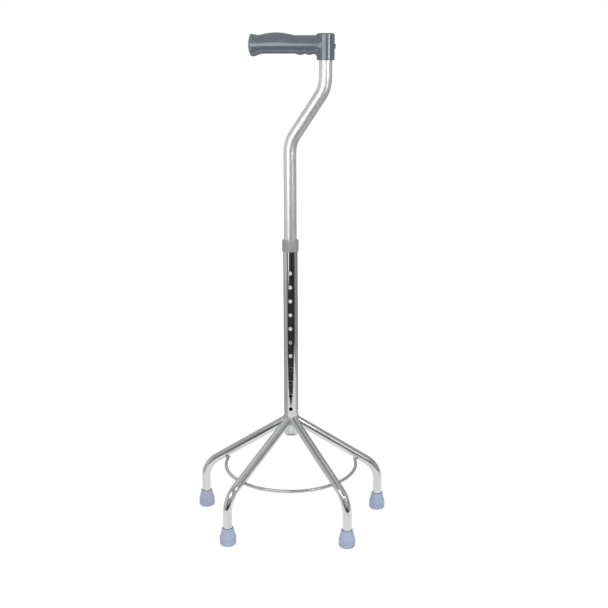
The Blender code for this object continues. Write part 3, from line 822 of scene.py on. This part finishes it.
def make_hoop(chrome):
    """Round rod along an arc, middle + R out + r (cos a out + sin a up), with its two ends rounded over."""
    radius, middle = hoop_circle()
    end = math.asin(min((hoop_high.y - middle[1]) / (radius + HOOP_ROD_RADIUS), 1.0))
    turn = end - np.linspace(0, math.pi + 2 * end, HOOP_ROWS)
    out = np.stack([np.cos(turn), np.sin(turn), np.zeros_like(turn)], -1)
    from_end = np.minimum(turn - turn[-1], turn[0] - turn) * radius
    inset = np.clip(1 - from_end / HOOP_END_EDGE, 0, 1)
    thick = HOOP_ROD_RADIUS - HOOP_END_EDGE + HOOP_END_EDGE * np.sqrt(1 - inset ** 2)
    angle = turns(ROD_COLUMNS)
    up = np.array([0, 0, 1.0])
    spread = np.cos(angle)[:, None] * out[:, None] + np.sin(angle)[:, None] * up
    rings = middle + radius * out[:, None] + thick[:, None, None] * spread
    straight = np.stack(np.broadcast_arrays(thick[:, None] * np.cos(angle), thick[:, None] * np.sin(angle),
                                            (turn * radius)[:, None]), -1)
    patch = (closed_ends(rings), closed_ends(straight), quads(HOOP_ROWS + 2, ROD_COLUMNS))
    hoop = piece("hoop_rod", [patch], chrome, "base")
    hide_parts("brace_hoop")


def along_to_circle(out, middle, radius):
    """How far out from the shaft a leg's line crosses the hoop: the root of |shaft + t out - middle| = R."""
    offset = np.array([0, SHAFT_Y - middle[1]])
    along = offset @ out[:2]
    return -along + math.sqrt(along ** 2 + radius ** 2 - offset @ offset)


def make_hoop_welds(chrome):
    """Small smooth welds between the hoop and the leg over it: flat round forms, r sin t out, h cos t up."""
    radius, middle = hoop_circle()
    turn = np.linspace(math.pi, 0, WELD_ROWS)
    profile = np.stack([HOOP_WELD_RADIUS * np.sin(turn), HOOP_WELD_HEIGHT * np.cos(turn)], -1)
    for name in FEET:
        _, out, _ = leg_frame(name)
        place = np.array([0, SHAFT_Y, hoop_high.z]) + along_to_circle(out, middle, radius) * out
        patch = turned(profile, place, ROD_COLUMNS)
        piece(f"hoop_weld_{name}", [patch], chrome, "base", SOFT_TURN)


def make_ferrule(name, rubber):
    """Foot with a ringed tread: a waisted band with a small lip, a cone, and a mouth eased round the leg."""
    low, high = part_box(f"ferrule_{name}")
    tall = high.z - low.z
    widest = (high.x - low.x) / 2
    bore = LEG_RADIUS + CLEARANCE
    rim = bore + FERRULE_TOP_WALL
    corners = [(0, 0)]
    radii = []
    for radius in TREAD_RADII:
        far = radius + TREAD_GROOVE
        corners += [(radius, 0), (radius, TREAD_DEPTH), (far, TREAD_DEPTH), (far, 0)]
        radii += [CRISP_EDGE, EASED_EDGE, EASED_EDGE, CRISP_EDGE]
    corners += [(widest, 0), (widest - FERRULE_WAIST, (SOLE_EDGE + FERRULE_BAND) / 2), (widest, FERRULE_BAND)]
    radii += [SOLE_EDGE, WAIST_RADIUS, EASED_EDGE]
    corners += [(widest - FERRULE_LIP, FERRULE_BAND), (rim + RIM_TAPER, tall - RIM_HEIGHT), (rim, tall)]
    radii += [CRISP_EDGE, RIM_HEIGHT, RIM_EDGE]
    corners += [(bore + MOUTH_EDGE, tall), (bore, tall - MOUTH_DEPTH)]
    corners += [(bore, SOLE_THICKNESS), (0, SOLE_THICKNESS)]
    radii += [CRISP_EDGE, MOUTH_EDGE, MOUTH_EDGE]
    x, y = foot_place(name)
    patch = lathed(corners, radii, (x, y, low.z))
    foot = piece(f"rubber_foot_{name}", [patch], rubber, "base")
    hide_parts(f"ferrule_{name}")


def make_collar(plastic):
    """Sleeve over the lower tube's mouth with soft outer edges and a lip round the upper tube."""
    radius = (collar_high.x - collar_low.x) / 2
    tall = collar_high.z - collar_low.z
    step = tall - COLLAR_STEP
    skirt = LOWER_RADIUS + CLEARANCE
    lip = LOWER_RADIUS - LOWER_WALL
    corners = [(skirt, step), (skirt, 0), (radius, 0), (radius, tall)]
    corners += [(lip, tall), (lip, step), (skirt, step)]
    radii = [EASED_EDGE, COLLAR_SKIRT_EDGE, COLLAR_TOP_EDGE, COLLAR_LIP_EDGE, CRISP_EDGE]
    patch = lathed(corners, radii, (0, SHAFT_Y, collar_low.z))
    collar = piece("collar_sleeve", [patch], plastic, "base")
    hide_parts("tube_collar")


def make_plug(plastic):
    """Plug in the lower tube's foot, with eased rims."""
    radius = (plug_high.x - plug_low.x) / 2
    tall = plug_high.z - plug_low.z
    corners = [(0, 0), (radius, 0), (radius, tall), (0, tall)]
    patch = lathed(corners, [PLUG_EDGE, PLUG_EDGE], (0, SHAFT_Y, plug_low.z))
    plug = piece("foot_plug", [patch], plastic, "base")
    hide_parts("tube_plug")


def smooth_step(value, start, end):
    """Rises smoothly from 0 at start to 1 at end."""
    share = np.clip((value - start) / (end - start), 0, 1)
    return share * share * (3 - 2 * share)


def hump(value, centre, half_length):
    """A half wave of height 1 round a centre."""
    share = np.clip(abs(value - centre) / half_length, 0, 1)
    return np.cos(share * math.pi / 2)


def grip_surface(back, angle):
    """Squarish oval sections along the grip: |y/w|^n + |z/h|^n = 1, where w and h follow the swell, the
    ridges, the flare of the rim, the lobe under it and the gusset."""
    swell = hump(back, SWELL_CENTRE, SWELL_HALF_LENGTH)
    flare = smooth_step(back, FLARE_START, GRIP_RIM)
    top = GRIP_TOP + SWELL_HEIGHT * swell + TOP_FLARE * flare
    ridges = sum(hump(back, centre, RIDGE_HALF_LENGTH) for centre in RIDGE_CENTRES)
    underside = GRIP_UNDERSIDE - RIDGE_HEIGHT * ridges - LOBE_DEPTH * smooth_step(back, LOBE_START, LOBE_PEAK)
    underside = underside + LOBE_ROUND * np.maximum((back - LOBE_PEAK) / (GRIP_RIM - LOBE_PEAK), 0) ** 2
    into_gusset = np.clip((GUSSET_START - back) / GUSSET_LENGTH, 0, 1)
    drop = SOCKET_DEPTH + GRIP_UNDERSIDE - CLEARANCE
    underside = underside - drop * (1 - np.sqrt(1 - into_gusset ** 2))
    half_width = GRIP_HALF_WIDTH + SWELL_WIDTH * swell + SIDE_FLARE * flare
    middle = (GRIP_TOP + GRIP_UNDERSIDE) / 2 - GRIP_BELLY
    power = 2 / GRIP_SQUARENESS
    across = np.copysign(abs(np.cos(angle)) ** power, np.cos(angle))
    upward = np.copysign(abs(np.sin(angle)) ** power, np.sin(angle))
    reach = np.where(upward > 0, top - middle, middle - underside)
    y = half_width * across
    z = reach * upward
    return y, z, middle, half_width, reach


def into_socket(back, y, z, half_width, reach):
    """Sections eased into the socket. With clear = sqrt(back^2 + y^2) - R, a point moves outward by
    F (1 - sqrt(1 - share^2)), where share = 1 - clear / F, and less where the two faces run alike."""
    clear = np.sqrt(back ** 2 + y ** 2) - SOCKET_RADIUS
    share = np.clip(1 - clear / SOCKET_FILLET, 0, FULLEST_FILLET)
    outward = unit(np.stack([np.copysign(abs(y / half_width) ** (GRIP_SQUARENESS - 1), y) / half_width,
                             np.copysign(abs(z / reach) ** (GRIP_SQUARENESS - 1), z) / reach], -1))
    apart = 1 - np.minimum(abs(outward[..., 0] * y) / SOCKET_RADIUS, 1)
    swell = SOCKET_FILLET * (1 - np.sqrt(1 - share ** 2)) * apart
    return y + swell * outward[..., 0], z + swell * np.maximum(outward[..., 1], 0)


def grip_end(y, z, columns):
    """The grip's end: a round edge (shrink 1 - e/w (1 - cos a), shift e sin a), then a face crowned by
    crown (1 - share^2) as it shrinks to its middle."""
    turn = np.radians(np.linspace(0, GRIP_EDGE_TURN, GRIP_EDGE_ROWS)[1:])[:, None]
    edge_shrink = 1 - GRIP_END_EDGE / GRIP_HALF_WIDTH * (1 - np.cos(turn))
    edge_shift = GRIP_END_EDGE * np.sin(turn)
    share = np.linspace(1, 0, GRIP_CROWN_ROWS)[1:, None]
    shrink = np.concatenate([edge_shrink, edge_shrink[-1] * share])
    shift = np.concatenate([edge_shift, edge_shift[-1] + GRIP_END_CROWN * (1 - share ** 2)])
    return GRIP_RIM + shift * np.ones(columns), y * shrink, z * shrink


def grip_patch():
    """The grip from inside the socket out to its crowned end."""
    columns = GRIP_COLUMNS
    backs = np.linspace(UPPER_RADIUS / 2, GRIP_RIM, GRIP_ROWS)
    angles = (np.arange(columns) + 0.5) * math.tau / columns
    back, angle = np.meshgrid(backs, angles, indexing="ij")
    y, z, middle, half_width, reach = grip_surface(back, angle)
    y, z = into_socket(back, y, z, half_width, reach)
    end_back, end_y, end_z = grip_end(y[-1:], z[-1:], columns)
    closed = np.zeros((1, columns))
    back = np.concatenate([back[:1], back, end_back])
    y = np.concatenate([closed, y, end_y])
    z = np.concatenate([closed, z, end_z])
    points = np.stack([NECK_OFFSET - back, SHAFT_Y + y, upper_high.z + middle + z], -1)
    return points, points, quads(len(back), columns)


def combine(item, steps):
    """Joins forms to an object or cuts them from it, in order, and removes them."""
    for tool, operation in steps:
        step = item.modifiers.new(tool.name, "BOOLEAN")
        step.operation = operation
        step.object = tool
    graph = bpy.context.evaluated_depsgraph_get()
    mesh = bpy.data.meshes.new_from_object(item.evaluated_get(graph), preserve_all_data_layers=True,
                                           depsgraph=graph)
    item.modifiers.clear()
    item.data = mesh
    for tool, _ in steps:
        bpy.data.objects.remove(tool)


def make_handle(plastic):
    """One moulding: the grip joined to a crowned socket, bored for the tube and seated for the screw."""
    handle = piece("grip_moulding", [grip_patch()], plastic, "upper_shaft", SOFT_TURN)
    low = -SOCKET_DEPTH
    past = 0.01
    top = (NECK_OFFSET, SHAFT_Y, upper_high.z)
    corners = [(0, low), (SOCKET_RADIUS, low), (SOCKET_RADIUS, SOCKET_CAP - SOCKET_CROWN), (0, SOCKET_CAP)]
    patch = lathed(corners, [SOCKET_MOUTH_EDGE, SOCKET_EDGE], top)
    socket = form("socket_form", [patch], plastic, SOFT_TURN)
    radius = UPPER_RADIUS + CLEARANCE
    corners = [(0, low - past), (radius, low - past), (radius, CLEARANCE), (0, CLEARANCE)]
    bore = form("bore_form", [turned(corners, top)], plastic, SOFT_TURN)
    radius = (screw_high.z - screw_low.z) / 2 + CLEARANCE
    corners = [(0, 0), (radius, 0), (radius, past), (0, past)]
    place = (NECK_OFFSET + SOCKET_RADIUS - SEAT_DEPTH, SHAFT_Y, (screw_low.z + screw_high.z) / 2)
    seat = form("seat_form", [turned(corners, place, axis="X")], plastic, SOFT_TURN)
    combine(handle, [(socket, "UNION"), (bore, "DIFFERENCE"), (seat, "DIFFERENCE")])
    handle.data.shade_smooth()
    handle.data.set_sharp_from_angle(angle=math.radians(SHARP_TURN))
    weighted = handle.modifiers.new("shading", "WEIGHTED_NORMAL")
    weighted.keep_sharp = True
    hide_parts("handle")


def make_screw(steel):
    """Pan head screw with a slot across its head."""
    radius = (screw_high.z - screw_low.z) / 2
    out = screw_high.x
    tip = screw_low.x - out
    corners = [(0, tip), (SCREW_SHANK, tip + SCREW_SHANK), (SCREW_SHANK, -SCREW_HEAD), (radius, -SCREW_HEAD),
               (radius, 0), (0, 0)]
    centre = (out, SHAFT_Y, (screw_low.z + screw_high.z) / 2)
    patch = lathed(corners, [CRISP_EDGE] * 3 + [SCREW_DOME], centre, SMALL_COLUMNS, "X")
    screw = piece("pan_head_screw", [patch], steel, "upper_shaft")
    bm = bmesh.new()
    bmesh.ops.create_cube(bm, size=1)
    bmesh.ops.scale(bm, verts=bm.verts, vec=SCREW_SLOT)
    bmesh.ops.translate(bm, verts=bm.verts, vec=centre)
    mesh = bpy.data.meshes.new("slot_form")
    bm.to_mesh(mesh)
    bm.free()
    combine(screw, [(added("slot_form", mesh), "DIFFERENCE")])
    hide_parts("handle_screw")


def make_button(steel):
    """Domed snap button on the front leaf of its spring."""
    back = button_high.y
    tip = button_high.y - button_low.y
    corners = [(0, 0), (BUTTON_FOOT, 0), (BUTTON_FOOT, LEAF), (BUTTON_RADIUS, LEAF), (BUTTON_RADIUS, tip)]
    radii = [EASED_EDGE, CRISP_EDGE, BUTTON_ROOT, BUTTON_DOME]
    dome = lathed(corners + [(0, tip)], radii, (0, back, BUTTON_HEIGHT), SMALL_COLUMNS, "-Y")
    front = back - LEAF
    half = (button_high.x - button_low.x) / 2
    outline = np.array([(-half, front), (half, front), (half, front - LEAF), (-half, front - LEAF)])
    heights = np.array([button_low.z, button_low.z, button_high.z, button_high.z])
    ring = np.concatenate([outline, heights[:1].repeat(4)[:, None]], axis=1)
    rows = np.stack([ring * [1, 1, 0] + [0, 0, z] for z in heights])
    rows[0] = rows[0].mean(axis=0)
    rows[-1] = rows[-1].mean(axis=0)
    strip = (rows, rows, quads(4, 4)[:, ::-1])
    button = piece("button_and_leaf", [dome, strip], steel, "button")
    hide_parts("snap_button")


def dress_kept_nodes(steel):
    """Gives the inner pieces, whose solids stay, their finish."""
    for name in ["clip_spring"] + [f"washer_{foot}" for foot in FEET]:
        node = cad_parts[name]
        node.data.materials.clear()
        node.data.materials.append(steel)


def window(value, low, high, soft):
    """1 between low and high, falling smoothly to 0 within soft beyond them."""
    return smooth_step(value, low - soft, low + soft) * (1 - smooth_step(value, high - soft, high + soft))


def blend_to(level, target, share):
    """Moves levels toward a target by a share."""
    return level * (1 - share) + target * share


def round_the_shaft(azimuth, distance, height):
    """A place round the shaft: azimuth 0 is toward the camera, along -Y, and 90 is along +X."""
    turn = np.radians(azimuth)
    places = np.broadcast_arrays(distance * np.sin(turn), SHAFT_Y - distance * np.cos(turn), height)
    return np.stack(places, -1)


def reflected_sheet(name, points, level):
    """A grid that only reflections see, glowing by a level at each of its points."""
    mesh = bpy.data.meshes.new(name)
    mesh.from_pydata(points.reshape(-1, 3).tolist(), [], quads(*points.shape[:2], closed=False).tolist())
    glow = mesh.attributes.new("level", "FLOAT", "POINT")
    glow.data.foreach_set("value", level.astype(np.float32).ravel())
    sheet = added(name, mesh)
    graph = material_graph(name)
    strength = graph.node("ShaderNodeAttribute", {"attribute_name": "level"}, output="Fac")
    graph.show(graph.node("ShaderNodeEmission", {}, {"Strength": strength}))
    mesh.materials.append(graph.owner)
    for kind in ("camera", "diffuse", "shadow", "transmission", "volume_scatter"):
        setattr(sheet, f"visible_{kind}", False)


def floor_level(azimuth, reach):
    """What the metal sees of the floor: a white table top under the cane, and round it a room that is dark in
    front and behind and light grey on the left, with a lit patch far out in front."""
    x, y, _ = np.moveaxis(round_the_shaft(azimuth, reach, 0.0), -1, 0)
    level = np.full_like(reach, FLOOR_LEVEL)
    for shade, azimuths, soft, share in FLOOR_SHADES:
        level = blend_to(level, shade, window(azimuth, *azimuths, soft) * share)
    front_edge = window(y, TABLE_FRONT, 9, 0.03)
    right_edge = 1 - smooth_step(TABLE_SLANT[0] * x + TABLE_SLANT[1] * y, *TABLE_RIGHT)
    open_left = 1 - window(azimuth, -200, -58, 8) * smooth_step(reach, 0.3, 0.5)
    level = blend_to(level, TABLE_LEVEL, front_edge * right_edge * open_left)
    for shade, azimuths, soft, reaches in FAR_SHADES:
        level = blend_to(level, shade, window(azimuth, *azimuths, soft) * smooth_step(reach, *reaches))
    near_right = smooth_step(azimuth, 62, 120) * window(reach, 0.46, 1.0, 0.06)
    level = blend_to(level, NEAR_RIGHT_LEVEL, near_right)
    behind = smooth_step(np.abs(azimuth), 126, 142) * smooth_step(reach, 0.42, 0.55)
    return blend_to(level, BACK_LEVEL, behind)


def room_level(azimuth, elevation):
    """What the metal sees above the floor: grey walls with lighter and darker stretches, dark low behind, and
    a paler ceiling."""
    level = np.full_like(elevation, WALL_LEVEL)
    for shade, azimuths, soft, elevations, soft_rise in WALL_SHADES:
        share = window(azimuth, *azimuths, soft) * window(elevation, *elevations, soft_rise)
        level = blend_to(level, shade, share)
    behind = smooth_step(np.abs(azimuth), 140, 156) * window(elevation, -90, 8, 5)
    level = blend_to(level, BACK_LEVEL, behind)
    return blend_to(level, CEILING_LEVEL, smooth_step(elevation, 76, 88))


def make_reflected_room():
    """The room round the table, as the metal reflects it."""
    reaches = np.geomspace(TABLE_NEAR, ROOM_RADIUS, FLOOR_ROWS)
    reach, azimuth = np.meshgrid(reaches, np.linspace(-180, 180, FLOOR_COLUMNS), indexing="ij")
    reflected_sheet("room_floor", round_the_shaft(azimuth, reach, 0.001), floor_level(azimuth, reach))
    elevations = np.linspace(-3, 90, WALL_ROWS)
    elevation, azimuth = np.meshgrid(elevations, np.linspace(-180, 180, WALL_COLUMNS), indexing="ij")
    rise = np.radians(elevation)
    points = round_the_shaft(azimuth, ROOM_RADIUS * np.cos(rise), ROOM_RADIUS * np.sin(rise) + ROOM_EYE)
    reflected_sheet("room_walls", points, room_level(azimuth, elevation))


def make_lamp_faces():
    """The lamps as reflections see them: upright sheets bent round the shaft, soft at their edges."""
    for name, distance, azimuths, lean, heights, fade, level in LAMP_FACES:
        rows = np.linspace(*heights, LAMP_ROWS)
        height, azimuth = np.meshgrid(rows, np.linspace(*azimuths, LAMP_COLUMNS), indexing="ij")
        soft_azimuth = (azimuths[1] - azimuths[0]) * LAMP_EDGE
        soft_height = (heights[1] - heights[0]) * LAMP_EDGE
        share = window(azimuth, azimuths[0] + soft_azimuth, azimuths[1] - soft_azimuth, soft_azimuth)
        share = share * smooth_step(height, heights[0], heights[0] + 2 * soft_height)
        share = share * (1 - smooth_step(height, heights[1] - fade, heights[1]))
        turn = azimuth - lean * (height - heights[0])
        reflected_sheet(name, round_the_shaft(turn, distance, height), level * share)


def make_floor():
    """Pale floor that the camera and the metal see as white, with the cane's soft shadow on it."""
    far = FLOOR_HALF_WIDTH
    mesh = bpy.data.meshes.new("floor")
    mesh.from_pydata([(-far, -far, 0), (far, -far, 0), (far, far, 0), (-far, far, 0)], [], [(0, 1, 2, 3)])
    graph = material_graph("pale_floor")
    graph.finish(Base_Color=grey(FLOOR_GREY), Roughness=0.9)
    lit = Wire(graph, graph.tree.nodes["Principled BSDF"].outputs[0])
    glow = graph.node("ShaderNodeEmission", {}, {"Color": grey(1.0), "Strength": FLOOR_GLOW})
    away = graph.node("ShaderNodeVectorMath", {"operation": "LENGTH"}, {0: graph.place()}, "Value")
    share = seen_by_rays(graph) * graph.level(away, *SHADOW_FADE, 0.85, 1.0)
    graph.show(graph.node("ShaderNodeMixShader", {}, {0: share, 1: lit, 2: glow}))
    mesh.materials.append(graph.owner)
    added("floor", mesh)


def make_world():
    """White to the camera and in reflections, and a soft plain level of light on the object."""
    graph = Graph(bpy.data.worlds.new("studio"))
    strength = graph.level(seen_by_rays(graph), 0.0, 1.0, WORLD_LEVEL, 1.0)
    bpy.context.scene.world = graph.finish("Background", Color=grey(1.0), Strength=strength)


def add_softbox(name, place, size, radiance):
    """A rectangular soft light that faces the cane. Its power is pi x area x radiance."""
    light = bpy.data.lights.new(name, "AREA")
    light.shape = "RECTANGLE"
    light.size, light.size_y = size
    light.energy = math.pi * light.size * light.size_y * radiance
    box = added(name, light)
    box.location = place
    aim = Vector((0, SHAFT_Y, min(place[2], HIGHEST_AIM))) - box.location
    box.rotation_euler = aim.to_track_quat("-Z", "Y").to_euler()
    box.visible_camera = False
    box.visible_glossy = False


def make_studio():
    """The soft boxes, with their faces and the room as the metal reflects them."""
    make_floor()
    make_world()
    make_reflected_room()
    make_lamp_faces()
    for softbox in SOFTBOXES:
        add_softbox(*softbox)


def make_camera():
    """The photograph's camera, a little lower than the handle and tipped down."""
    lens = bpy.data.cameras.new("camera")
    lens.sensor_width = SENSOR_WIDTH
    lens.lens = LENS
    camera = added("camera", lens)
    camera.location = CAMERA_PLACE
    facing = Euler((math.radians(90 - CAMERA_DROP), 0, math.radians(CAMERA_TURN))).to_matrix()
    camera.rotation_euler = (facing @ Matrix.Rotation(math.radians(CAMERA_ROLL), 3, "Z")).to_euler()
    bpy.context.scene.camera = camera


def dress():
    """Makes every finished piece."""
    chrome = chrome_plate("chrome_plate", TUBE_DULLNESS)
    rod_chrome = chrome_plate("rod_chrome", ROD_DULLNESS)
    aluminium = anodised_aluminium()
    steel = plated_steel("bright_steel", STEEL_DULL, STEEL_BRIGHT)
    screw_steel = plated_steel("screw_steel", SCREW_DULL, SCREW_BRIGHT)
    slate = slate_plastic()
    grey_moulding = grey_plastic()
    rubber = blue_rubber()
    make_lower_tube(chrome)
    make_upper_tube(aluminium)
    for name in FEET:
        make_leg(name, chrome)
        make_leg_weld(name, chrome)
        make_ferrule(name, rubber)
    make_hoop(rod_chrome)
    make_hoop_welds(rod_chrome)
    make_collar(grey_moulding)
    make_plug(grey_moulding)
    make_handle(slate)
    make_screw(screw_steel)
    make_button(steel)
    dress_kept_nodes(steel)


bpy.context.scene.view_settings.view_transform = "Standard"
dress()
make_studio()
make_camera()
